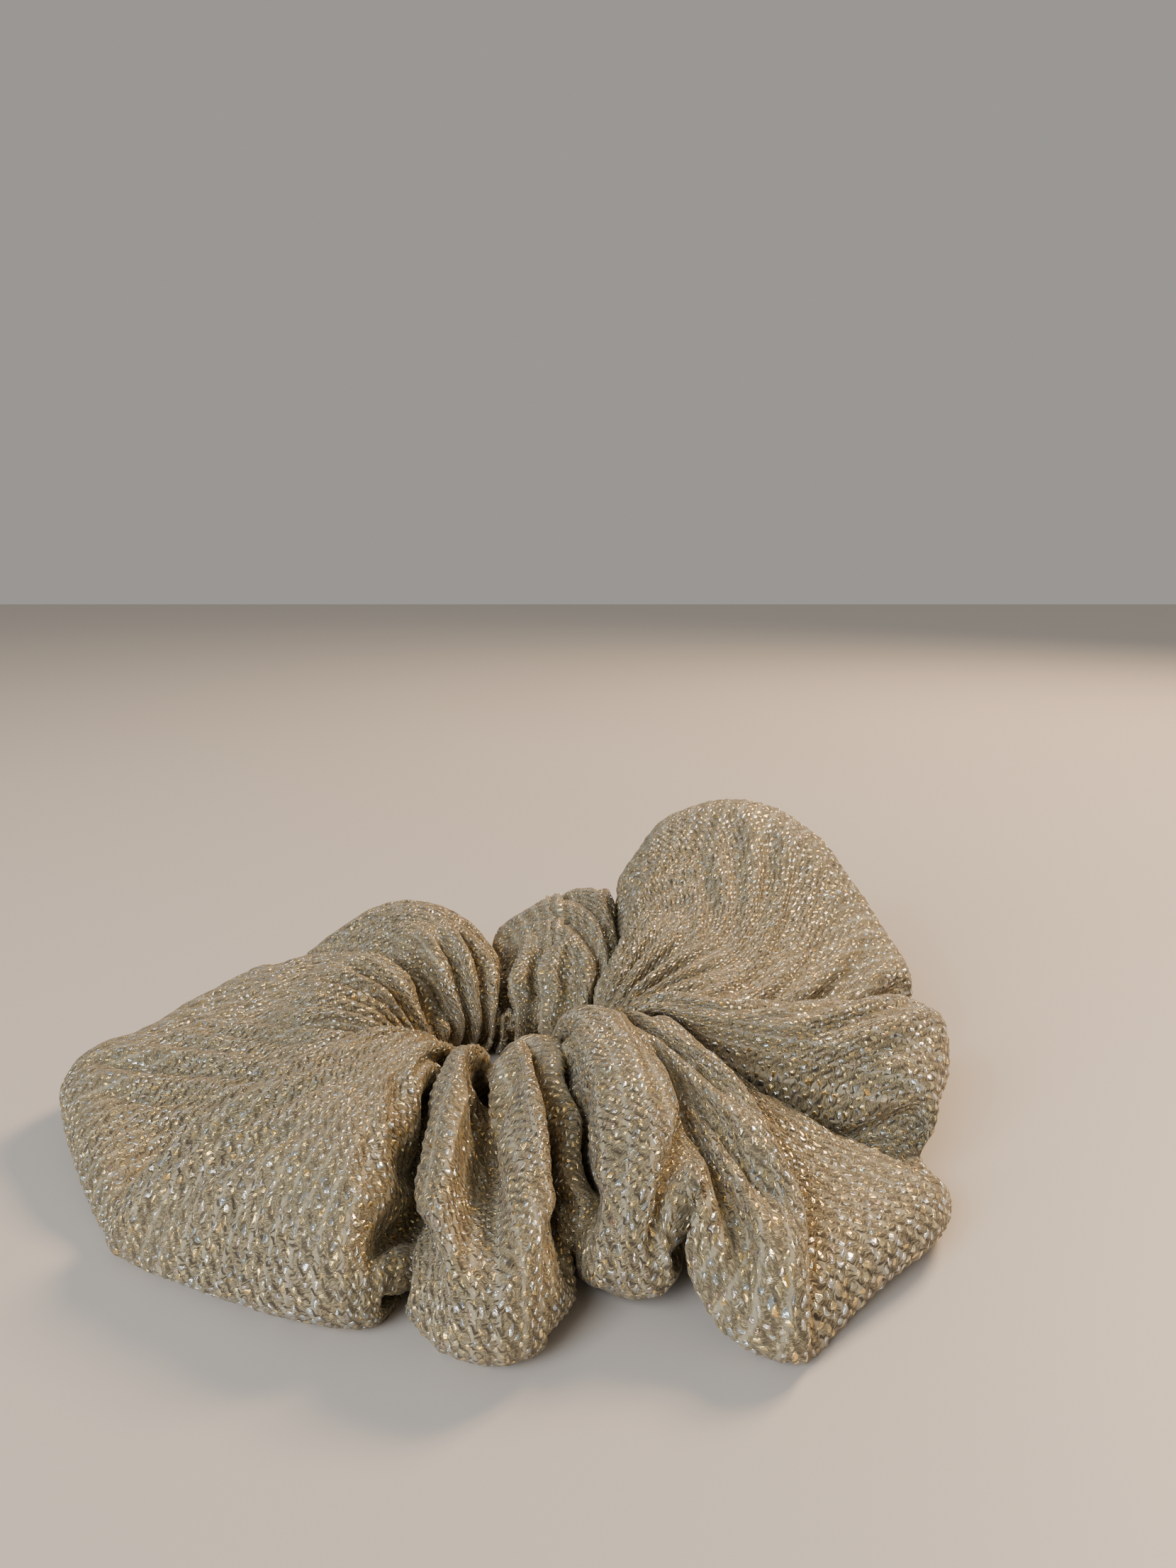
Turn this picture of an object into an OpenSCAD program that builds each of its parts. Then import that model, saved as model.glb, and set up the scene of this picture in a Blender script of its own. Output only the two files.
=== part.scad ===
// Hair scrunchie: a knit fabric tube, gathered in ruffled lobes on a flat elastic loop.
// The loop lies flat on z = 0 around the Z axis, with its front towards -Y.
// The loop opens by pulling its two halves apart along X, so the cover, the elastic and
// the long seam are each made as a right half and a left half that meet at x = 0.

/* [Loop] */
// Radius of the open middle that the hair goes through
hole_r = 15; // [13:0.5:16]
// Radius of the relaxed elastic, to the middle of its thickness
elastic_r = 22; // [21:0.5:23]
// Width of the flat elastic, which stands on its edge
elastic_w = 6; // [4:0.5:6.5]
// Thickness of the elastic
elastic_t = 1; // [0.6:0.1:1.2]
// Angle over which the two ends of the elastic lie on each other
lap_angle = 30; // [20:2:40]

/* [Cover] */
// Thickness of the knit wall
wall = 1; // [0.8:0.1:1.2]
// How much the lobes crown above their nominal height
crown = 1.5; // [1:0.1:2]
// Angle at which the ends of the fabric tube are joined
closing_angle = 68; // [66:1:70]

/* [Thread] */
// Diameter of the thread in the long seam
seam_d = 0.8; // [0.6:0.1:1]
// Diameter of the thread in the closing seam
closing_d = 0.6; // [0.4:0.1:0.8]
// Diameter of the zigzag thread through the lapped elastic
zigzag_d = 0.4; // [0.3:0.05:0.5]

/* [Hidden] */

// Half of the gap between the right and the left pieces
half_gap = 0.15;
// How far the loop's axis lies behind the middle of the whole object
loop_y = 3.6;
// Height of the tube's innermost line, where the long seam runs
seam_z = 7;
seam_r = hole_r + wall + 1.2;
// Height of the elastic's lower edge above the table
elastic_z = seam_z - 0.5 - elastic_w / 2;
// Share of the tube's width, from its inner side, that lies flat on the table
flat_share = 0.6;
// Step between the sections of the cover, and points round each section
station_step = 4.5;
section_points = 18;
thread_sides = 6;
zigzag_rows = 4;
// Least height of the closing seam's thread above the table
table_clear = 0.05;

// The ruffle, anticlockwise from +X: angle, outer reach, height and lift of the outer edge.
// Crests and the valleys between them take turns.
LOBES = [
    [  0, 59.5, 22, 2],    // right lobe
    [ 13, 56.0, 17, 3],
    [ 27, 60.5, 27, 5],    // tall lobe at the back right, three rows
    [ 44, 58.0, 36, 6],
    [ 57, 52.5, 33, 5],
    [ 67, 44.0, 16, 1],
    [ 79, 44.5, 22, 2],    // narrow back lobe
    [ 93, 40.0, 15, 0],
    [117, 49.0, 20, 2],    // left back lobe
    [135, 50.0, 15, 0],
    [160, 58.5, 19, 2],    // left lobe, two rows
    [181, 59.5, 16, 3],
    [210, 51.0, 15, 0],
    [236, 50.0, 23, 1],    // left front lobe
    [255, 44.0, 15, 0],
    [269, 52.0, 24, 0],    // front pleat
    [279, 43.0, 17, 1],
    [290, 47.0, 26, 1],    // front lobe
    [301, 56.0, 20, 0],
    [322, 59.0, 18, 3],    // right front lobe
    [343, 53.0, 15, 0]
];
RING = concat(LOBES, [LOBES[0] + [360, 0, 0, 0]]);
REACH = 1;
HEIGHT = 2;
LIFT = 3;

function ease(t) = (1 - cos(180 * t)) / 2;
function turn(a) = a < 0 ? a + 360 : a;
function row_before(a, i = 0) = RING[i + 1][0] > a ? i : row_before(a, i + 1);

// One column of the ruffle's rows, eased between the two rows around an angle
function lobe_at(a, column) =
    let (
        i = row_before(turn(a)),
        low = RING[i],
        high = RING[i + 1],
        t = (turn(a) - low[0]) / (high[0] - low[0])
    )
    low[column] + (high[column] - low[column]) * ease(t);

// A point on the tube's section at angle a; inset is how far inside the outer face it lies.
// The section is an ellipse that dips to the seam's height at its inner end, is cut flat
// where it rests on the table, and curls up at its outer edge.
function section_point(a, phi, inset) =
    let (
        reach = lobe_at(a, REACH) - inset,
        near = hole_r + inset,
        high = lobe_at(a, HEIGHT),
        out = (1 + cos(phi)) / 2,
        r = near + (reach - near) * out,
        middle_z = seam_z + (high / 2 - seam_z) * min(1, 2 * out),
        z = max(inset, middle_z + (high / 2 + crown - inset) * sin(phi)),
        lift = lobe_at(a, LIFT) * pow(max(0, out - flat_share) / (1 - flat_share), 2)
    )
    [r * cos(a), r * sin(a), z + lift];

function section(a, inset) =
    [for (k = [0 : section_points - 1]) section_point(a, 360 * k / section_points, inset)];

// Quads between ring i and ring i + 1 of a skin, cut into triangles
function skin_faces(rings, first, flip) = [
    for (i = [0 : rings - 2], k = [0 : section_points - 1])
        let (
            next = (k + 1) % section_points,
            a = first + i * section_points + k,
            b = first + i * section_points + next,
            c = b + section_points,
            d = a + section_points
        )
        for (face = flip ? [[a, c, b], [a, d, c]] : [[a, b, c], [a, c, d]]) face
];

// The ring of wall that shows where the tube is cut
function cut_faces(outer, inner, flip) = [
    for (k = [0 : section_points - 1])
        let (
            next = (k + 1) % section_points,
            a = outer + k,
            b = outer + next,
            c = inner + next,
            d = inner + k
        )
        for (face = flip ? [[a, c, b], [a, d, c]] : [[a, b, c], [a, c, d]]) face
];

// Puts a piece on the half of the loop that faces the angle middle
module on_half(middle) {
    translate([half_gap * cos(middle), loop_y, 0]) children();
}

// Half of the hollow tube, round the side that faces the angle middle
module cover_half(middle) {
    angles = [for (a = [middle - 90 : station_step : middle + 90]) a];
    rings = len(angles);
    outer = [for (a = angles) each section(a, 0)];
    inner = [for (a = angles) each section(a, wall)];
    inner_first = rings * section_points;
    last = (rings - 1) * section_points;
    on_half(middle)
        polyhedron(
            concat(outer, inner),
            concat(
                skin_faces(rings, 0, false),
                skin_faces(rings, inner_first, true),
                cut_faces(0, inner_first, true),
                cut_faces(last, inner_first + last, false)
            )
        );
}

module cover_right() {
    color("tan") cover_half(0);
}

module cover_left() {
    color("tan") cover_half(180);
}

// An arc of the elastic from one angle to another, with its middle at radius r
module elastic_arc(r, from, to) {
    rotate(from)
        rotate_extrude(angle = to - from, $fn = 96)
            translate([r - elastic_t / 2, elastic_z])
                square([elastic_t, elastic_w]);
}

// The two sewn ends: the back end lies outside the front one, a thickness further out
module elastic_right() {
    color("ivory")
        on_half(0) {
            elastic_arc(elastic_r, -90, lap_angle / 2);
            elastic_arc(elastic_r + elastic_t, -lap_angle / 2, 90);
        }
}

// The plain half, off centre by half a thickness so that it meets both ends
module elastic_left() {
    color("ivory")
        on_half(180)
            translate([0, elastic_t / 2, 0])
                elastic_arc(elastic_r + elastic_t / 2, 90, 270);
}

// Half of the long seam, which lies along the inner side of the tube
module tube_seam_half(middle) {
    color("goldenrod")
        on_half(middle)
            rotate(middle - 90)
                rotate_extrude(angle = 180, $fn = 96)
                    translate([seam_r, seam_z])
                        circle(d = seam_d, $fn = 24);
}

module tube_seam_right() {
    tube_seam_half(0);
}

module tube_seam_left() {
    tube_seam_half(180);
}

// Thread sewn round the tube where its two ends meet: a thin tube swept along one section
module closing_seam() {
    color("goldenrod")
        on_half(0)
            thread_ring([
                for (k = [0 : section_points - 1])
                    [for (s = [0 : thread_sides - 1])
                        closing_point(360 * k / section_points, 360 * s / thread_sides)]
            ]);
}

// A point on the closing thread's surface: phi goes round the tube, turn_s round the thread
function closing_point(phi, turn_s) =
    let (
        sink = closing_d / 2 * cos(turn_s),
        sideways = closing_d / 2 * sin(turn_s),
        place = section_point(closing_angle, phi, sink)
    )
    [
        place.x - sideways * sin(closing_angle),
        place.y + sideways * cos(closing_angle),
        max(place.z, table_clear)
    ];

// A closed tube through rings of points
module thread_ring(rings) {
    count = len(rings);
    polyhedron(
        [for (ring = rings) each ring],
        [
            for (i = [0 : count - 1], s = [0 : thread_sides - 1])
                let (
                    after = (i + 1) % count,
                    next = (s + 1) % thread_sides,
                    a = i * thread_sides + s,
                    b = i * thread_sides + next,
                    c = after * thread_sides + next,
                    d = after * thread_sides + s
                )
                for (face = [[a, b, c], [a, c, d]]) face
        ]
    );
}

// Rows of stitches that go through both ends of the elastic, from edge to edge
module elastic_zigzag() {
    stitch_step = (lap_angle - 8) / zigzag_rows;
    low = elastic_z + elastic_w * 0.2;
    color("goldenrod")
        on_half(0)
            for (i = [0 : zigzag_rows], edge = [0, 1])
                rotate(-lap_angle / 2 + 4 + stitch_step * i)
                    translate([elastic_r - elastic_t, 0, low + edge * elastic_w * 0.6])
                        rotate([0, 90, 0])
                            cylinder(d = zigzag_d, h = elastic_t * 3, $fn = 16);
}

cover_right();
cover_left();
elastic_right();
elastic_left();
tube_seam_right();
tube_seam_left();
closing_seam();
elastic_zigzag();
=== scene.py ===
import math

import bpy
import numpy as np
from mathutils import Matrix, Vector


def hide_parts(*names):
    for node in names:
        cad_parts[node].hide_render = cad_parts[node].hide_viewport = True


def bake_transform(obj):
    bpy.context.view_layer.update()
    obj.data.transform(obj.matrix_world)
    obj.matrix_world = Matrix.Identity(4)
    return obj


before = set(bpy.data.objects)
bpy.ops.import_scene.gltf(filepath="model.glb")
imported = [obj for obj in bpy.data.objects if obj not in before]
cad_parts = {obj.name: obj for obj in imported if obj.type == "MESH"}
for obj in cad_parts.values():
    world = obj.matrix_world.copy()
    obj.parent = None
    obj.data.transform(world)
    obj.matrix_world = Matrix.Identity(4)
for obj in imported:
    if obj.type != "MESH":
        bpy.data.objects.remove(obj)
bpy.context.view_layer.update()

MM = 0.001
TURN = 2 * math.pi

# The ruffle of the fabric tube, as ribs across it, anticlockwise from the right front.
# Each rib: azimuth near the elastic, halfway and at the outer edge (degrees), reach (mm),
# top height at 20, 50 and 80 % of the width, height of the outer edge (mm),
# underside height at 50 and 80 % (mm) and radius of the folded edge (mm).
RIBS = [
    # right front lobe, from the long ridge in front to the tip at its right
    (325, 317, 299, 60, 19, 17.5, 11.5, 3.0, 0, 0, 2.5),
    (328, 321, 306.5, 57, 18, 14, 9, 3.0, 0, 0, 3),
    (330, 324, 317, 57, 17, 13, 8, 3.5, 0, 0, 3.5),
    (332, 330, 329, 60, 15, 12, 8, 4.0, 0, 0, 3.5),
    # crease, then the tongue on the right that lies over it
    (333, 335, 338, 54, 9, 7, 5, 4.0, 1, 1, 2.5),
    (328, 333, 342, 55, 18, 16, 14, 9, 3, 4, 4),
    (322, 336, 353, 57.5, 20, 20, 19, 13, 4, 6, 5),
    (330, 346, 2, 58, 19, 19, 17, 12, 4, 5, 4.5),
    (338, 356, 8, 54, 12, 11, 10, 8.5, 2, 3, 2.5),
    # tall lobe, standing up at the back right
    (346, 4, 14, 61, 16, 15, 15, 12, 2, 5, 4),
    (355, 14, 24, 61, 17, 18, 20, 18, 3, 9, 4),
    (4, 24, 36, 59, 18, 22, 29, 29, 5, 15, 4),
    (12, 34, 46, 56, 19, 25, 33, 33, 7, 19, 4),
    (19, 43, 56, 50, 19, 25, 32, 31, 8, 18, 3.5),
    (25, 48, 62, 44, 17, 24, 28, 25, 8, 15, 3),
    (29, 52, 65, 40, 11, 15, 18, 18, 6, 11, 2.5),
    (34, 55, 66.5, 36, 7, 6, 6, 6.0, 2, 2, 2),
    # narrow back lobe
    (42, 58, 69, 40, 13, 17, 20, 17, 4, 6, 3),
    (57, 68, 76, 43, 15, 19, 20, 15, 2, 4, 4),
    (75, 81, 87, 43, 14, 17, 17, 12, 1, 3, 4),
    (89, 92, 96, 41, 12, 13, 12, 9, 0, 2, 3),
    (96, 98, 100, 37, 7, 6, 6, 5.0, 1, 2, 2),
    # left back lobe
    (103, 103, 104, 44, 13, 14, 13, 9, 1, 2, 3.5),
    (113, 115, 117, 48, 17, 19, 18, 11, 0, 1, 4.5),
    (124, 127, 129, 50, 17, 19, 16, 9.0, 0, 0, 4),
    (134, 137, 139, 49, 13, 13, 11, 7.0, 0, 0, 3),
    (144, 143, 143, 46, 9, 8, 7, 5.0, 0, 1, 2.5),
    # broad left lobe
    (152, 149, 148, 49, 16, 16, 12, 8.0, 0, 1, 3.5),
    (168, 162, 160, 52.5, 17, 16.5, 11.5, 6.5, 0, 0, 2.5),
    (184, 177, 174, 56, 17, 15, 10, 6.0, 0, 0, 2),
    (197, 187, 183.5, 60, 17, 14, 11, 7.0, 0, 1, 2),
    (207, 198, 195, 55.5, 16, 13, 9, 5.5, 0, 0, 2),
    (216, 207, 205, 53, 13, 11, 7, 4.0, 0, 0, 2),
    (224, 214, 214.5, 52, 9, 7, 4, 2.5, 0, 0, 1.5),
    # left front lobe, a tent whose ridge runs out to the left
    (233, 223, 217, 53, 17, 17, 10, 2.5, 0, 0, 2),
    (239, 233, 228, 50, 18.5, 18.5, 13, 3.5, 0, 0, 2.5),
    (244, 243, 241, 48, 18.5, 18.5, 14, 4.0, 0, 0, 3),
    (249, 251, 254, 49, 17.5, 17, 14, 5.0, 0, 0, 4),
    (252, 255, 258.5, 47, 13, 10, 8, 5.0, 0, 1, 3),
    (254, 257, 260.5, 41, 8, 5, 4, 3.5, 0, 1, 2),
    # narrow pleats in front
    (256, 259, 264, 46, 17, 14, 9, 5.0, 0, 1, 2.5),
    (260, 262, 266.5, 49, 18.5, 17.5, 13, 5.0, 0, 0, 3),
    (265, 266, 269, 51, 15, 12, 11, 4.5, 0, 0, 3.5),
    (268, 270, 272.5, 53, 13, 10, 10, 4.0, 0, 0, 4),
    (271, 274, 276, 52, 15, 13, 12, 4.5, 0, 0, 4),
    (275, 278, 278.5, 49, 19, 18.5, 13.5, 5.0, 0, 0, 3),
    (279, 280.5, 280.5, 45, 15, 14, 10, 5.0, 0, 1, 2.5),
    (281, 282, 282.5, 39, 10, 7, 6, 5.0, 1, 2, 2),
    (283, 284, 284, 41, 18, 15, 11, 7.0, 2, 3, 2.5),
    (287, 287, 286, 41, 18.5, 16, 10, 7, 2, 3, 2.5),
    (291, 290, 287, 36, 12, 7, 6, 5.0, 1, 2, 2),
    # front lobe, with an arch under its right side
    (294, 292, 284.5, 45, 19, 18, 13, 6.0, 2, 3, 3.5),
    (302, 299, 288, 48, 20.5, 20.5, 16, 6.5, 2, 3, 4),
    (311, 306, 293, 48, 20.5, 20, 16, 8.0, 3, 5, 3.5),
    (317, 311, 297, 45, 19.5, 18.5, 14, 11, 6, 8, 2.5),
    (321, 315, 296.5, 56, 19.5, 17.5, 11, 4.5, 1, 2, 2.5),
]
# Radius of the open middle and distance of its centre behind the origin (mm)
HOLE_R = 13.0
LOOP_Y = 3.6
# Places round a rib, as a share of the tube's circumference, from the inner side over the top
KNOTS = (0.0, 0.05, 0.12, 0.27, 0.40, 0.47, 0.50, 0.53, 0.60, 0.73, 0.87, 0.95)

# Grids along and round the tube: the relaxing cloth, the finished cover, where a cell is one
# stitch of the knit, and the coarser lining inside it
SIM_GRID = (480, 72)
STITCHES = (720, 128)
LINING = (180, 40)
# Wall from the outer side to the lining, and the lowest place of the lining (mm)
WALL = 0.9
LINING_FLOOR = 0.3

# Pleats beside the elastic: how many, how deep (mm), how far they reach round the tube (share
# of its circumference), and how much longer than drawn the fabric is in them
PLEATS = 44
PLEAT_DEPTH = 1.2
PLEAT_REACH = 0.26
GATHER = 0.8

# Cloth relaxation: steps, sweeps of the constraints in each, and slack of the fabric
SIM_STEPS = 60
SIM_SWEEPS = 4
SLACK = 1.02
# Pressure, weight, least gap between folds and random creases to start from (mm)
PUFF = 0.011
FALL = 0.01
CLOTH_GAP = 1.25
STARTING_CREASES = 0.06
# Shares kept from step to step: speed, resistance to bending, and pull to the drawn shape
KEEP_SPEED = 0.85
BEND = 0.2
HOLD_SHAPE = 0.03

# Relief of the knit (mm): raised and sunk stitches, the wales, the long seam's valley, and the
# closing seam's folded edge with the step beside it
STITCH_UP = 0.11
STITCH_DOWN = -0.06
WALE_RISE = 0.05
SEAM_VALLEY = -0.5
HEM_RISE = 0.8
HEM_STEP = -0.3
# Width at which a stitch has its full relief (mm)
OPEN_STITCH = 0.56

# Elastic strip inside the tube (mm), half its lap, and the oval round its section that the
# fabric stays out of, as half width and half height (mm)
ELASTIC_R = 22.0
ELASTIC_W = 6.0
ELASTIC_T = 1.0
ELASTIC_Z = 6.5
LAP_HALF = math.radians(15)
OVAL = (3.2, 4.4)

# Closing seam's azimuth, its hem in stitches, the long seam's row, and the thread (mm)
CLOSING_AT = math.radians(68)
HEM = 3
LONG_SEAM = 122
THREAD_D = 0.45
# How far a stitch rises and dives (mm), and points along it
STITCH_DIVE = 0.34
STITCH_STEPS = 16
# Zigzag through the lap: half its length, half its width and how far it stands off (mm)
ZIGZAG_HALF = math.radians(11)
ZIGZAG_W = 2.1
ZIGZAG_OFF = 0.05


def rib_points(rib):
    """The rib's control points round the tube, in millimetres."""
    az_in, az_mid, az_out, reach, z1, z2, z3, edge, under2, under3, round_r = rib
    if az_mid < az_in - 180:
        az_mid += 360
    if az_out < az_mid - 180:
        az_out += 360
    profile = [
        (0.00, 8.0),
        (0.06, 0.72 * z1),
        (0.20, z1),
        (0.50, z2),
        (0.80, z3),
        (0.96, edge + 0.8 * round_r),
        (1.00, edge),
        (0.95, max(0.0, edge - 0.8 * round_r)),
        (0.80, under3),
        (0.50, under2),
        (0.20, 1.0),
        (0.05, 4.0),
    ]
    points = []
    for share, z in profile:
        bow = 4 * share * (1 - share)
        az = az_in * (1 - share) * (1 - 2 * share) + az_mid * bow + az_out * share * (2 * share - 1)
        r = HOLE_R + (reach - HOLE_R) * share
        a = math.radians(az)
        points.append((r * math.cos(a), LOOP_Y + r * math.sin(a), z))
    return points


def closed_spline(knots, period, at):
    """Weights that carry values at the closed knots to the places in at, Catmull-Rom."""
    n = len(knots)
    weights = np.zeros((len(at), n))
    for row, t in enumerate(at):
        i = int(np.searchsorted(knots, t, side="right") - 1)
        near = [(i + d) % n for d in (-1, 0, 1, 2)]
        t0, t1, t2, t3 = (knots[(i + d) % n] + period * ((i + d) // n) for d in (-1, 0, 1, 2))
        h = t2 - t1
        x = (t - t1) / h
        leave = (x**3 - 2 * x**2 + x) * h / (t2 - t0)
        arrive = (x**3 - x**2) * h / (t3 - t1)
        weights[row, near[0]] -= leave
        weights[row, near[1]] += 2 * x**3 - 3 * x**2 + 1 - arrive
        weights[row, near[2]] += 3 * x**2 - 2 * x**3 + leave
        weights[row, near[3]] += arrive
    return weights


def resample(pts, along, around, columns, rows):
    """The closed surface through pts, whose rows lie at along and around, on a new grid."""
    wu = closed_spline(along[:-1], along[-1], np.arange(columns) / columns * along[-1])
    wv = closed_spline(around[:-1], around[-1], np.arange(rows) / rows * around[-1])
    return np.einsum("vj,ujk->uvk", wv, np.einsum("ui,ijk->ujk", wu, pts))


def ruffle(columns, rows):
    """The tube through all ribs, which lie as far apart as the fabric between them is long."""
    control = np.array([rib_points(rib) for rib in RIBS])
    step = np.linalg.norm(np.roll(control, -1, 0) - control, axis=2)[:, 2:9].mean(1)
    along = np.concatenate([[0], np.cumsum(step)])
    pts = resample(control, along, np.array(KNOTS + (1.0,)), columns, rows)
    pts[..., 2] = np.maximum(pts[..., 2], 0.0)
    return pts


def normals(pts):
    """Outward unit normals of a closed tube of points."""
    du = np.roll(pts, -1, 0) - np.roll(pts, 1, 0)
    dv = np.roll(pts, -1, 1) - np.roll(pts, 1, 1)
    n = np.cross(dv, du)
    return n / (np.linalg.norm(n, axis=2, keepdims=True) + 1e-9)


def pleated(pts):
    """Small pleats beside the elastic, which fade out towards the lobes."""
    nu, nv = pts.shape[:2]
    u, v = np.arange(nu) / nu, np.arange(nv) / nv
    wander = 1.3 * np.sin(TURN * 5 * u) + 0.9 * np.sin(TURN * 8 * u + 1) + 0.6 * np.sin(TURN * 13 * u + 2)
    wave = np.sin(TURN * PLEATS * u + wander)
    near = np.clip(1 - np.minimum(v, 1 - v) / PLEAT_REACH, 0, 1)
    return pts + normals(pts) * (PLEAT_DEPTH * wave[:, None] * near[None])[..., None]


def pull(pts, axis, apart, slant, rest, stretch, press):
    """Moves pairs of points, apart steps along axis, towards their rest distance."""
    index = np.arange(pts.shape[axis])
    for half in (0, 1):
        first = index[(index // apart) % 2 == half]
        second = (first + apart) % len(index)
        a = np.take(pts, first, axis)
        b = np.roll(np.take(pts, second, axis), -slant, 1 - axis)
        line = b - a
        length = np.linalg.norm(line, axis=2) + 1e-9
        over = length - np.take(rest, first, axis)
        move = line * (np.where(over > 0, stretch, press) * 0.5 * over / length)[..., None]
        a = a + move
        b = np.roll(b - move, slant, 1 - axis)
        if axis == 0:
            pts[first], pts[second] = a, b
        else:
            pts[:, first], pts[:, second] = a, b


def pairs_in_cells(flat, gap):
    """Pairs of points that share a cell of size gap or lie in touching cells."""
    cell = np.floor(flat / gap).astype(np.int64) + 200
    key = (cell[:, 0] * 1000 + cell[:, 1]) * 1000 + cell[:, 2]
    order = np.argsort(key, kind="stable")
    ordered = key[order]
    sides = [(x, y, z) for x in (-1, 0, 1) for y in (-1, 0, 1) for z in (-1, 0, 1)]
    for x, y, z in sides:
        if (x, y, z) < (0, 0, 0):
            continue
        want = ordered + (x * 1000 + y) * 1000 + z
        left = np.searchsorted(ordered, want, "left")
        count = np.searchsorted(ordered, want, "right") - left
        one = np.repeat(np.arange(len(ordered)), count)
        start = np.repeat(left - np.concatenate([[0], np.cumsum(count)[:-1]]), count)
        other = start + np.arange(len(one))
        if (x, y, z) == (0, 0, 0):
            one, other = one[other > one], other[other > one]
        yield order[one], order[other]


def keep_apart(pts, gap):
    """Pushes apart points of the cloth that come closer than gap without being neighbours."""
    nu, nv = pts.shape[:2]
    flat = pts.reshape(-1, 3)
    move = np.zeros_like(flat)
    hits = np.zeros(len(flat))
    for i, j in pairs_in_cells(flat, gap):
        line = flat[j] - flat[i]
        dist = np.linalg.norm(line, axis=1) + 1e-9
        du = np.abs(i // nv - j // nv)
        dv = np.abs(i % nv - j % nv)
        far = (np.minimum(du, nu - du) > 2) | (np.minimum(dv, nv - dv) > 2)
        near = (dist < gap) & far
        i, j = i[near], j[near]
        push = line[near] * (0.5 * (gap - dist[near]) / dist[near])[:, None]
        for axis in range(3):
            move[:, axis] += np.bincount(j, push[:, axis], len(flat))
            move[:, axis] -= np.bincount(i, push[:, axis], len(flat))
        hits += np.bincount(j, minlength=len(flat)) + np.bincount(i, minlength=len(flat))
    flat += move / np.maximum(1, hits * 0.6)[:, None]


def clear_elastic(pts):
    """Lifts the fabric off the elastic, out of an oval round the strip's section."""
    out = np.hypot(pts[..., 0], pts[..., 1] - LOOP_Y)
    across = out - (ELASTIC_R + 0.5 * ELASTIC_T)
    above = pts[..., 2] - ELASTIC_Z
    depth = np.sqrt((across / OVAL[0]) ** 2 + (above / OVAL[1]) ** 2) + 1e-6
    grow = np.maximum(1 / depth, 1.0)
    wider = (out + across * (grow - 1)) / out
    pts[..., 0] *= wider
    pts[..., 1] = LOOP_Y + (pts[..., 1] - LOOP_Y) * wider
    pts[..., 2] = ELASTIC_Z + above * grow


def relax(shape):
    """Lets the tube settle into soft folds: a cloth simulation on its grid of points."""
    rng = np.random.default_rng(7)
    nu, nv = shape.shape[:2]
    v = np.arange(nv) / nv
    away = np.minimum(v, 1 - v)
    ease = np.clip(away / 0.2, 0, 1)
    ease = ease * ease * (3 - 2 * ease)
    now_u = np.linalg.norm(np.roll(shape, -1, 0) - shape, axis=2)
    now_v = np.linalg.norm(np.roll(shape, -1, 1) - shape, axis=2)
    rest_u = now_u * (SLACK + GATHER * (1 - ease))
    even_v = max(now_v.sum(1).mean() / nv, 1.0)
    rest_v = (0.85 * now_v + 0.15 * even_v) * SLACK
    rest_across = np.sqrt(rest_u**2 + rest_v**2)
    free = np.clip((away - 0.03) / 0.05, 0, 1)[None, :, None]
    pts = shape + rng.normal(0, STARTING_CREASES, shape.shape) * free
    before = pts.copy()
    for step in range(SIM_STEPS):
        speed = (pts - before) * KEEP_SPEED
        before = pts.copy()
        pts = pts + free * (speed + normals(pts) * PUFF)
        pts[..., 2] -= FALL * free[..., 0]
        for sweep in range(SIM_SWEEPS):
            pull(pts, 0, 1, 0, rest_u, 0.9, 0.55)
            pull(pts, 1, 1, 0, rest_v, 0.9, 0.7)
            pull(pts, 0, 1, 1, rest_across, 0.3, 0.2)
            pull(pts, 0, 1, -1, rest_across, 0.3, 0.2)
            for apart, stiff in ((2, BEND), (4, BEND * 0.5)):
                pull(pts, 0, apart, 0, rest_u * apart, 0.0, stiff)
                pull(pts, 1, apart, 0, rest_v * apart, 0.0, stiff)
        if step % 2 == 1:
            keep_apart(pts, CLOTH_GAP)
        pts += (shape - pts) * HOLD_SHAPE
        pts = shape * (1 - free) + pts * free
        clear_elastic(pts)
        pts[..., 2] = np.maximum(pts[..., 2], 0.0)
    return pts


def closing_column(pts):
    """The column of the tube's closing seam, behind the tall lobe."""
    inner = pts[:, 0]
    az = np.arctan2(inner[:, 1] - LOOP_Y, inner[:, 0])
    return int(np.argmin(np.abs(az - CLOSING_AT)))


def above_floor(pts, height):
    """The points, none lower than height."""
    pts[..., 2] = np.maximum(pts[..., 2], height)
    return pts


def stitch_relief(pts, seam):
    """Raises every second stitch, sinks the long seam and folds the closing seam's edge."""
    nu, nv = pts.shape[:2]
    i, j = np.meshgrid(np.arange(nu), np.arange(nv), indexing="ij")
    head = np.where((i + j) % 2 == 0, STITCH_UP, STITCH_DOWN)
    wale = WALE_RISE * np.cos(TURN * i / 4)
    from_long = np.abs((j - LONG_SEAM + nv // 2) % nv - nv // 2)
    valley = SEAM_VALLEY * np.exp(-((from_long / 0.8) ** 2))
    from_close = (i - seam + nu // 2) % nu - nu // 2
    rise, step = HEM_RISE * np.exp(-from_close / 4), HEM_STEP * np.exp(from_close / 2)
    fold = np.where(from_close >= 0, rise, step)
    wide = np.linalg.norm(np.roll(pts, -1, 0) - np.roll(pts, 1, 0), axis=2) / 2
    knit = (head + wale) * np.clip(wide / OPEN_STITCH, 0, 1)
    return above_floor(pts + normals(pts) * (knit + valley + fold)[..., None], 0.0)


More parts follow.
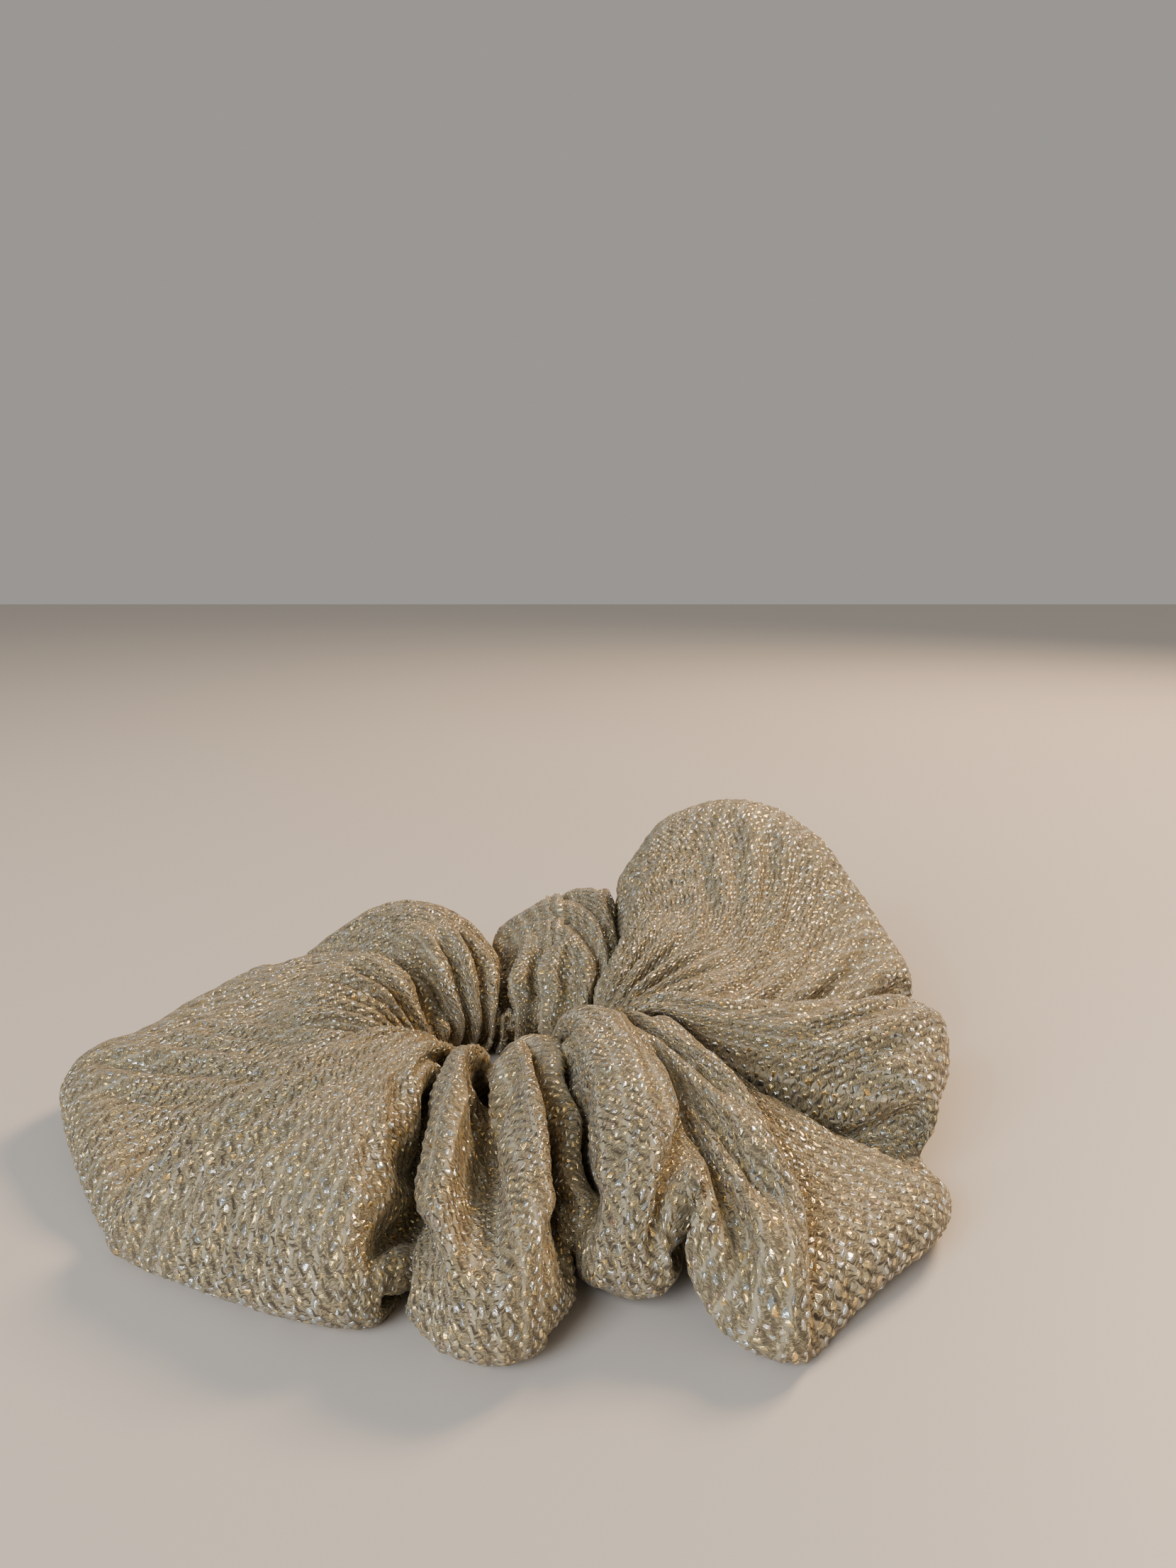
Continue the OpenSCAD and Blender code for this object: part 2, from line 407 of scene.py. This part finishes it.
def grid_faces(columns, rows, first, seam, scale, outward):
    """Faces of a closed grid, and each corner's place in stitches from the closing seam."""
    u, v = np.meshgrid(np.arange(columns), np.arange(rows), indexing="ij")
    order = ((0, 0), (0, 1), (1, 1), (1, 0)) if outward else ((0, 0), (1, 0), (1, 1), (0, 1))
    corners = [first + ((u + a) % columns) * rows + (v + b) % rows for a, b in order]
    from_seam = (u - seam) % columns
    places = [np.stack([(from_seam + a) * scale[0], (v + b) * scale[1]], -1) for a, b in order]
    faces = np.stack(corners, -1).reshape(-1, 4)
    return faces, np.stack(places, 2).reshape(-1, 2)


def mesh_object(name, points, faces, places, layer):
    """A smooth mesh in metres with one UV layer."""
    mesh = bpy.data.meshes.new(name)
    mesh.from_pydata((np.asarray(points).reshape(-1, 3) * MM).tolist(), [], list(faces))
    mesh.polygons.foreach_set("use_smooth", [True] * len(faces))
    uv = mesh.uv_layers.new(name=layer)
    uv.data.foreach_set("uv", np.asarray(places, float).ravel())
    obj = bpy.data.objects.new(name, mesh)
    bpy.context.scene.collection.objects.link(obj)
    return obj


def make_cover(pts):
    """The knit tube as a thin shell: stitches outside, a plainer face inside."""
    seam = closing_column(pts)
    outer = stitch_relief(pts, seam)
    nu, nv = STITCHES
    lu, lv = LINING
    within = resample(pts, np.arange(nu + 1), np.arange(nv + 1), lu, lv)
    within = above_floor(within - normals(within) * WALL, LINING_FLOOR)
    scale = (nu / lu, nv / lv)
    outside = grid_faces(nu, nv, 0, seam, (1, 1), True)
    inside = grid_faces(lu, lv, nu * nv, round(seam / scale[0]), scale, False)
    points = np.concatenate([outer.reshape(-1, 3), within.reshape(-1, 3)])
    faces = np.concatenate([outside[0], inside[0]])
    places = np.concatenate([outside[1], inside[1]])
    return mesh_object("cover", points, faces, places, "stitches")


def swept(name, path, up, outline, closed):
    """A solid of the given outline, as (sideways, up) points, swept along a path."""
    if closed:
        forward = np.roll(path, -1, 0) - np.roll(path, 1, 0)
    else:
        forward = np.gradient(path, axis=0)
    forward /= np.linalg.norm(forward, axis=1, keepdims=True)
    side = np.cross(forward, up)
    side /= np.linalg.norm(side, axis=1, keepdims=True)
    up = np.cross(side, forward)
    rings = path[:, None] + side[:, None] * outline[:, :, :1] + up[:, None] * outline[:, :, 1:]
    count, sides = rings.shape[:2]
    faces, places = grid_faces(count, sides, 0, 0, (1, 1), False)
    along = np.concatenate([[0], np.cumsum(np.linalg.norm(np.diff(path, axis=0), axis=1))])
    spacing = along[-1] / (count - 1)
    places = places * (spacing, 1)
    points = rings.reshape(-1, 3)
    if not closed:
        faces, places = faces[: (count - 1) * sides], places[: (count - 1) * sides * 4]
        middles = np.stack([path[0], path[-1]])
        points = np.concatenate([points, middles])
        k = np.arange(sides)
        first = np.stack([np.full(sides, count * sides), k, (k + 1) % sides], -1)
        last = np.stack([np.full(sides, count * sides + 1), (k + 1) % sides, k], -1)
        last[:, 1:] += (count - 1) * sides
        caps = np.concatenate([first, last])
        faces = faces.tolist() + caps.tolist()
        places = np.concatenate([places, np.zeros((len(caps) * 3, 2))])
    return mesh_object(name, points, faces, places, "strip")


def round_outline(count, diameter):
    """A thread's section, the same at every step of its path."""
    a = np.arange(8) / 8 * TURN
    ring = np.stack([np.cos(a), np.sin(a)], -1) * diameter / 2
    return np.broadcast_to(ring, (count, 8, 2))


def make_elastic():
    """The flat ribbed elastic: one strip round the loop, its ends lapped at the right."""
    count, half = 480, 24
    t = np.linspace(0, 1, count)
    a = LAP_HALF - t * (TURN + 2 * LAP_HALF)
    rise = np.clip((t - 0.25) / 0.5, 0, 1)
    r = ELASTIC_R + ELASTIC_T * rise * rise * (3 - 2 * rise)
    path = np.stack([r * np.cos(a), LOOP_Y + r * np.sin(a), np.full(count, ELASTIC_Z)], -1)
    up = np.stack([np.cos(a), np.sin(a), np.zeros(count)], -1)
    across = np.linspace(-0.5, 0.5, half)
    ribs = 0.36 + 0.10 * np.cos(TURN * 6 * across) - 0.30 * np.abs(2 * across) ** 12
    knit = 0.03 * np.where(np.arange(count) % 4 < 2, 1, -1)[:, None]
    thick = ribs[None] + knit * (1 - np.abs(2 * across) ** 6)[None]
    width = np.broadcast_to(across * ELASTIC_W, thick.shape)
    front = np.stack([width, thick], -1)
    back = np.stack([width, -thick], -1)[:, ::-1]
    return swept("elastic", path, up, np.concatenate([front, back], 1), False)


def ring_through(points, count):
    """Points evenly placed along the closed curve through the given ones."""
    return closed_spline(np.arange(len(points)), len(points), np.arange(count) / count * len(points)) @ points


def running_stitch(name, points, outward, stitches, lift):
    """A closed line of stitches: a thread that dives through the fabric once a stitch."""
    count = stitches * STITCH_STEPS
    path = ring_through(points, count)
    up = ring_through(outward, count)
    up /= np.linalg.norm(up, axis=1, keepdims=True)
    phase = np.arange(count) / STITCH_STEPS * TURN
    path = path + up * (lift + STITCH_DIVE * np.clip(1.6 * np.cos(phase), -1, 1))[:, None]
    path = above_floor(path, THREAD_D / 2)
    return swept(name, path, up, round_outline(count, THREAD_D), True)


def make_zigzag():
    """Zigzag stitches through the lapped ends of the elastic, over both faces."""
    zigs, steps = 14, 12
    t = np.arange(2 * zigs * steps) / (zigs * steps)
    there = np.where(t < 1, t, 2 - t)
    a = (there * 2 - 1) * ZIGZAG_HALF
    fold = np.abs((t * zigs) % 2 - 1) * 2 - 1
    middle = ELASTIC_R + 0.5 * ELASTIC_T
    through = np.clip(np.minimum(there, 1 - there) * zigs * 2, 0, 1)
    r = middle + np.where(t < 1, 1, -1) * through * (ELASTIC_T + ZIGZAG_OFF)
    path = np.stack([r * np.cos(a), LOOP_Y + r * np.sin(a), ELASTIC_Z + ZIGZAG_W * fold], -1)
    up = np.stack([np.cos(a), np.sin(a), np.full(len(t), 0.01)], -1)
    return swept("elastic_zigzag_stitch", path, up, round_outline(len(t), THREAD_D), True)


def new_material(name):
    mat = bpy.data.materials.new(name)
    mat.use_nodes = True
    return mat, mat.node_tree, mat.node_tree.nodes["Principled BSDF"]


def add_node(tree, kind, inputs=(), **settings):
    """A node with its settings, and its inputs as values or as sockets to link."""
    node = tree.nodes.new(kind)
    for key, value in settings.items():
        setattr(node, key, value)
    for socket, value in dict(inputs).items():
        if isinstance(value, bpy.types.NodeSocket):
            tree.links.new(value, node.inputs[socket])
        else:
            node.inputs[socket].default_value = value
    return node


def calc(tree, operation, *values):
    """A Math node's result."""
    return add_node(tree, "ShaderNodeMath", enumerate(values), operation=operation).outputs[0]


def between(tree, value, low, high):
    """0 below low, 1 above high, smooth in between; low may be the larger one."""
    inputs = {"Value": value, "From Min": low, "From Max": high}
    return add_node(tree, "ShaderNodeMapRange", inputs, interpolation_type="SMOOTHSTEP").outputs[0]


def blend_colors(tree, share, first, second):
    node = add_node(tree, "ShaderNodeMix", {0: share, 6: first, 7: second}, data_type="RGBA")
    return node.outputs[2]


def vector_math(tree, operation, *values):
    return add_node(tree, "ShaderNodeVectorMath", enumerate(values), operation=operation).outputs[0]


def scaled(tree, vector, factor):
    inputs = {0: vector, "Scale": factor}
    return add_node(tree, "ShaderNodeVectorMath", inputs, operation="SCALE").outputs[0]


def noise(tree, vector, scale, detail):
    inputs = {"Vector": vector, "Scale": scale, "Detail": detail}
    return add_node(tree, "ShaderNodeTexNoise", inputs, noise_dimensions="2D")


def color_ramp(tree, factor, stops):
    node = add_node(tree, "ShaderNodeValToRGB", {"Fac": factor})
    ramp = node.color_ramp
    while len(ramp.elements) < len(stops):
        ramp.elements.new(0.5)
    for element, (place, color) in zip(ramp.elements, stops):
        element.position = place
        element.color = (*color, 1)
    return node.outputs[0]


def set_inputs(tree, shader, values):
    for socket, value in values.items():
        if isinstance(value, bpy.types.NodeSocket):
            tree.links.new(value, shader.inputs[socket])
        else:
            shader.inputs[socket].default_value = value


# Radius of a bead of metal strip, as a share of the distance between beads, and the colours
HEAD_SIZE = 0.31
# painted shade: the dark colour of the gaps between the strands, where shade falls into the knit
GAP_SHADE_COLOR = (0.06, 0.042, 0.022, 1)
BROWN_YARN = (0.145, 0.105, 0.048, 1)
GREIGE_YARN = (0.31, 0.25, 0.145, 1)
WALE_YARN = (0.44, 0.375, 0.25, 1)
GOLD_FLECK = (0.78, 0.60, 0.28, 1)
ELASTIC_SHADE = (0.56, 0.51, 0.42, 1)
ELASTIC_CREAM = (0.84, 0.81, 0.74, 1)
ELASTIC_YARN = (0.62, 0.57, 0.48, 1)
THREAD_SHADE = (0.24, 0.17, 0.09, 1)
THREAD_BEIGE = (0.50, 0.39, 0.22, 1)
THREAD_FUZZ = (0.58, 0.48, 0.31, 1)
LUREX_TINTS = [
    (0.0, (1.00, 0.68, 0.26)),
    (0.4, (1.00, 0.86, 0.48)),
    (0.6, (1.00, 0.97, 0.88)),
    (0.8, (0.80, 0.92, 0.95)),
    (1.0, (1.00, 0.76, 0.58)),
]


def lurex_knit():
    """Fine openwork knit of beige yarn with a gold and silver metallic strip in it."""
    mat, tree, shader = new_material("lurex_knit")
    flat = add_node(tree, "ShaderNodeUVMap", uv_map="stitches").outputs[0]
    uneven = noise(tree, flat, 0.7, 1).outputs["Color"]
    shift = scaled(tree, vector_math(tree, "SUBTRACT", uneven, (0.5, 0.5, 0.5)), 1.1)
    place = vector_math(tree, "ADD", flat, shift)
    split = add_node(tree, "ShaderNodeSeparateXYZ", {0: place})
    u, v = split.outputs[0], split.outputs[1]

    diagonal = calc(tree, "COSINE", calc(tree, "MULTIPLY", calc(tree, "ADD", u, v), math.pi))
    course = calc(tree, "MULTIPLY_ADD", diagonal, 0.2, v)
    strand = calc(tree, "COSINE", calc(tree, "MULTIPLY", course, 1.5 * TURN))
    eyelet = calc(tree, "COSINE", calc(tree, "MULTIPLY", calc(tree, "SUBTRACT", u, v), math.pi))
    wale = calc(tree, "COSINE", calc(tree, "MULTIPLY", u, TURN / 4))

    turned = add_node(tree, "ShaderNodeMapping", {
        "Vector": place, "Location": (-0.14, 0.14, 0), "Rotation": (0, 0, math.pi / 4),
        "Scale": (0.7071, 0.8, 1),
    }).outputs[0]
    heads = add_node(
        tree, "ShaderNodeTexVoronoi", {"Vector": turned, "Scale": 1.0, "Randomness": 0.45},
        voronoi_dimensions="2D",
    )
    random_of = add_node(tree, "ShaderNodeSeparateColor", {0: heads.outputs["Color"]})
    ball = calc(tree, "MULTIPLY", heads.outputs["Distance"], 1 / HEAD_SIZE)
    ball = calc(tree, "SUBTRACT", 1.0, calc(tree, "POWER", calc(tree, "MINIMUM", ball, 1.0), 2.0))
    head = calc(
        tree, "MULTIPLY",
        between(tree, heads.outputs["Distance"], HEAD_SIZE, 0.8 * HEAD_SIZE),
        between(tree, random_of.outputs[0], 0.06, 0.12),
    )

    long_grain = add_node(tree, "ShaderNodeMapping", {"Vector": place, "Scale": (1.3, 4.5, 1)})
    fleck_noise = noise(tree, long_grain.outputs[0], 1.7, 2)
    fleck = between(tree, fleck_noise.outputs["Fac"], 0.56, 0.62)
    crest = between(tree, strand, -0.4, 0.4)
    fleck = calc(tree, "MULTIPLY", fleck, calc(tree, "MULTIPLY", crest, 0.4))
    metal = calc(tree, "MAXIMUM", head, fleck)

    batch = noise(tree, flat, 0.045, 2).outputs["Fac"]
    pale = between(tree, fleck_noise.outputs["Fac"], 0.35, 0.6)
    yarn = blend_colors(tree, pale, BROWN_YARN, GREIGE_YARN)
    on_wale = calc(tree, "MULTIPLY", between(tree, wale, 0.7, 1.0), 0.8)
    yarn = blend_colors(tree, on_wale, yarn, WALE_YARN)
    # painted shade: the yarn is darkened in the troughs between the strands, in patches, and in a ladder
    # between the wales, as the gaps between the loops fall into shade
    gap_shade_mask = calc(tree, "MULTIPLY", between(tree, strand, 0.1, -0.8), between(tree, eyelet, -0.4, 0.6))
    gap_shade_mask = calc(tree, "MULTIPLY", gap_shade_mask, between(tree, batch, 0.25, 0.55))
    ladder = calc(tree, "MULTIPLY", between(tree, wale, 0.0, -0.8), between(tree, eyelet, -0.5, 0.5))
    gap_shade_mask = calc(tree, "MAXIMUM", gap_shade_mask, calc(tree, "MULTIPLY", ladder, 0.6))
    yarn = blend_colors(tree, gap_shade_mask, yarn, GAP_SHADE_COLOR)
    tint = color_ramp(tree, random_of.outputs[1], LUREX_TINTS)
    strip = blend_colors(tree, head, GOLD_FLECK, tint)

    height = calc(tree, "MULTIPLY_ADD", strand, 0.2, calc(tree, "MULTIPLY", wale, 0.1))
    height = calc(tree, "MULTIPLY_ADD", fleck_noise.outputs["Fac"], 0.8, height)
    loops = add_node(tree, "ShaderNodeBump", {"Height": height, "Distance": 0.00012}).outputs[0]
    beads = add_node(tree, "ShaderNodeBump", {"Height": ball, "Distance": 0.00018, "Normal": loops})
    random_tilt = vector_math(tree, "SUBTRACT", heads.outputs["Color"], (0.5, 0.5, 0.5))
    fleck_tilt = vector_math(tree, "SUBTRACT", fleck_noise.outputs["Color"], (0.5, 0.5, 0.5))
    tilt = vector_math(tree, "ADD", scaled(tree, random_tilt, 0.7), scaled(tree, fleck_tilt, 0.9))
    normal = vector_math(tree, "ADD", beads.outputs[0], scaled(tree, tilt, metal))

    set_inputs(tree, shader, {
        "Base Color": blend_colors(tree, metal, yarn, strip),
        "Metallic": calc(tree, "MULTIPLY", metal, 0.95),
        "Roughness": calc(tree, "MULTIPLY_ADD", metal, -0.58, 0.76),
        "Normal": vector_math(tree, "NORMALIZE", normal),
        "Sheen Weight": 0.1,
    })
    return mat


def knit_elastic():
    """Cream elastic with lengthwise ribs and fine threads across them."""
    mat, tree, shader = new_material("knit_elastic")
    place = add_node(tree, "ShaderNodeUVMap", uv_map="strip").outputs[0]
    split = add_node(tree, "ShaderNodeSeparateXYZ", {0: place})
    turns = calc(tree, "COSINE", calc(tree, "MULTIPLY", split.outputs[0], TURN / 0.55))
    rib = calc(tree, "COSINE", calc(tree, "MULTIPLY", split.outputs[1], TURN / 4))
    yarn = noise(tree, place, 2.5, 3).outputs["Fac"]
    weave = calc(tree, "MULTIPLY", turns, rib)
    # painted shade: the low places of the weave, which the bump also sinks, get the darker elastic colour
    color = blend_colors(tree, between(tree, weave, -0.9, 0.5), ELASTIC_SHADE, ELASTIC_CREAM)
    color = blend_colors(tree, calc(tree, "MULTIPLY", yarn, 0.4), color, ELASTIC_YARN)
    height = calc(tree, "MULTIPLY_ADD", yarn, 0.6, weave)
    bump = add_node(tree, "ShaderNodeBump", {"Height": height, "Distance": 0.00012}).outputs[0]
    set_inputs(tree, shader, {"Base Color": color, "Roughness": 0.8, "Sheen Weight": 0.2, "Normal": bump})
    return mat


def sewing_thread():
    """Twisted polyester thread: slanted plies along it."""
    mat, tree, shader = new_material("sewing_thread")
    place = add_node(tree, "ShaderNodeUVMap", uv_map="strip").outputs[0]
    split = add_node(tree, "ShaderNodeSeparateXYZ", {0: place})
    along = calc(tree, "MULTIPLY", split.outputs[0], 14.0)
    slant = calc(tree, "MULTIPLY_ADD", split.outputs[1], TURN / 4, along)
    ply = calc(tree, "COSINE", slant)
    fuzz = noise(tree, place, 3.0, 2).outputs["Fac"]
    # painted shade: the grooves between the plies, which the bump also sinks, get the darker thread colour
    color = blend_colors(tree, between(tree, ply, -0.9, 0.6), THREAD_SHADE, THREAD_BEIGE)
    color = blend_colors(tree, calc(tree, "MULTIPLY", fuzz, 0.5), color, THREAD_FUZZ)
    bump = add_node(tree, "ShaderNodeBump", {"Height": ply, "Distance": 0.00006}).outputs[0]
    set_inputs(tree, shader, {"Base Color": color, "Roughness": 0.55, "Sheen Weight": 0.2, "Normal": bump})
    return mat


def finish_piece(obj, material, slot, *nodes):
    """Gives a piece its material, hides the CAD parts it stands for and applies its transform; slot is not
    used.
    """
    obj.data.materials.append(material)
    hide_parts(*nodes)
    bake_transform(obj)


pts = pleated(ruffle(*SIM_GRID))
pts = relax(pts)
pts = resample(pts, np.arange(SIM_GRID[0] + 1), np.arange(SIM_GRID[1] + 1), *STITCHES)
cover = make_cover(pts)
seam = closing_column(pts)
outward = normals(pts)
thread = sewing_thread()
long_seam = running_stitch("tube_seam", pts[:, LONG_SEAM], outward[:, LONG_SEAM], stitches=72, lift=-0.40)
hem = (seam + HEM) % STITCHES[0]
end_seam = running_stitch("end_seam", pts[hem], outward[hem], stitches=34, lift=0.38)
elastic = make_elastic()
zigzag = make_zigzag()

finish_piece(cover, lurex_knit(), "lurex_knit", "cover_right", "cover_left")
finish_piece(elastic, knit_elastic(), "knit_elastic", "elastic_right", "elastic_left")
finish_piece(long_seam, thread, "sewing_thread", "tube_seam_right", "tube_seam_left")
finish_piece(end_seam, thread, "sewing_thread", "closing_seam")
finish_piece(zigzag, thread, "sewing_thread", "elastic_zigzag")


# Camera: focal length (mm), place (m) and how far it looks below level
LENS = 25.0
CAMERA_PLACE = (0.011, -0.134, 0.075)
LOOK_DOWN = math.radians(12)
# Studio: colours of the floor, the sky light and its strength, and the floor's side (m)
FLOOR_COLOR = (0.60, 0.54, 0.48, 1)
SKY_COLOR = (1.0, 0.95, 0.88, 1)
SKY_STRENGTH = 0.36
FLOOR_SIDE = 3


def camera():
    data = bpy.data.cameras.new("camera")
    data.lens = LENS
    data.clip_start = 0.005
    obj = bpy.data.objects.new("camera", data)
    obj.location = CAMERA_PLACE
    obj.rotation_euler = (math.radians(90) - LOOK_DOWN, 0, 0)
    bpy.context.scene.collection.objects.link(obj)
    bpy.context.scene.camera = obj


def area_light(name, place, size, watts, color):
    """A square lamp turned towards the object."""
    data = bpy.data.lights.new(name, "AREA")
    data.size = size
    data.energy = watts
    data.color = color
    obj = bpy.data.objects.new(name, data)
    obj.location = place
    obj.rotation_euler = (Vector((0, 0, 0.01)) - Vector(place)).to_track_quat("-Z", "Y").to_euler()
    bpy.context.scene.collection.objects.link(obj)


def sky_light():
    """Even soft light from all sides."""
    world = bpy.data.worlds.new("studio")
    world.use_nodes = True
    background = world.node_tree.nodes["Background"]
    background.inputs["Color"].default_value = SKY_COLOR
    background.inputs["Strength"].default_value = SKY_STRENGTH
    bpy.context.scene.world = world


def pale_floor():
    bpy.ops.mesh.primitive_plane_add(size=FLOOR_SIDE, location=(0, 0, 0))
    floor = bpy.context.object
    floor.name = "floor"
    material, _, shader = new_material("floor")
    shader.inputs["Base Color"].default_value = FLOOR_COLOR
    floor.data.materials.append(material)


camera()
area_light("key", (0.40, 0.36, 0.46), size=0.20, watts=6.2, color=(1, 0.71, 0.43))
area_light("fill", (-0.36, -0.56, 0.40), size=0.40, watts=6.4, color=(0.84, 0.91, 1))
sky_light()
pale_floor()
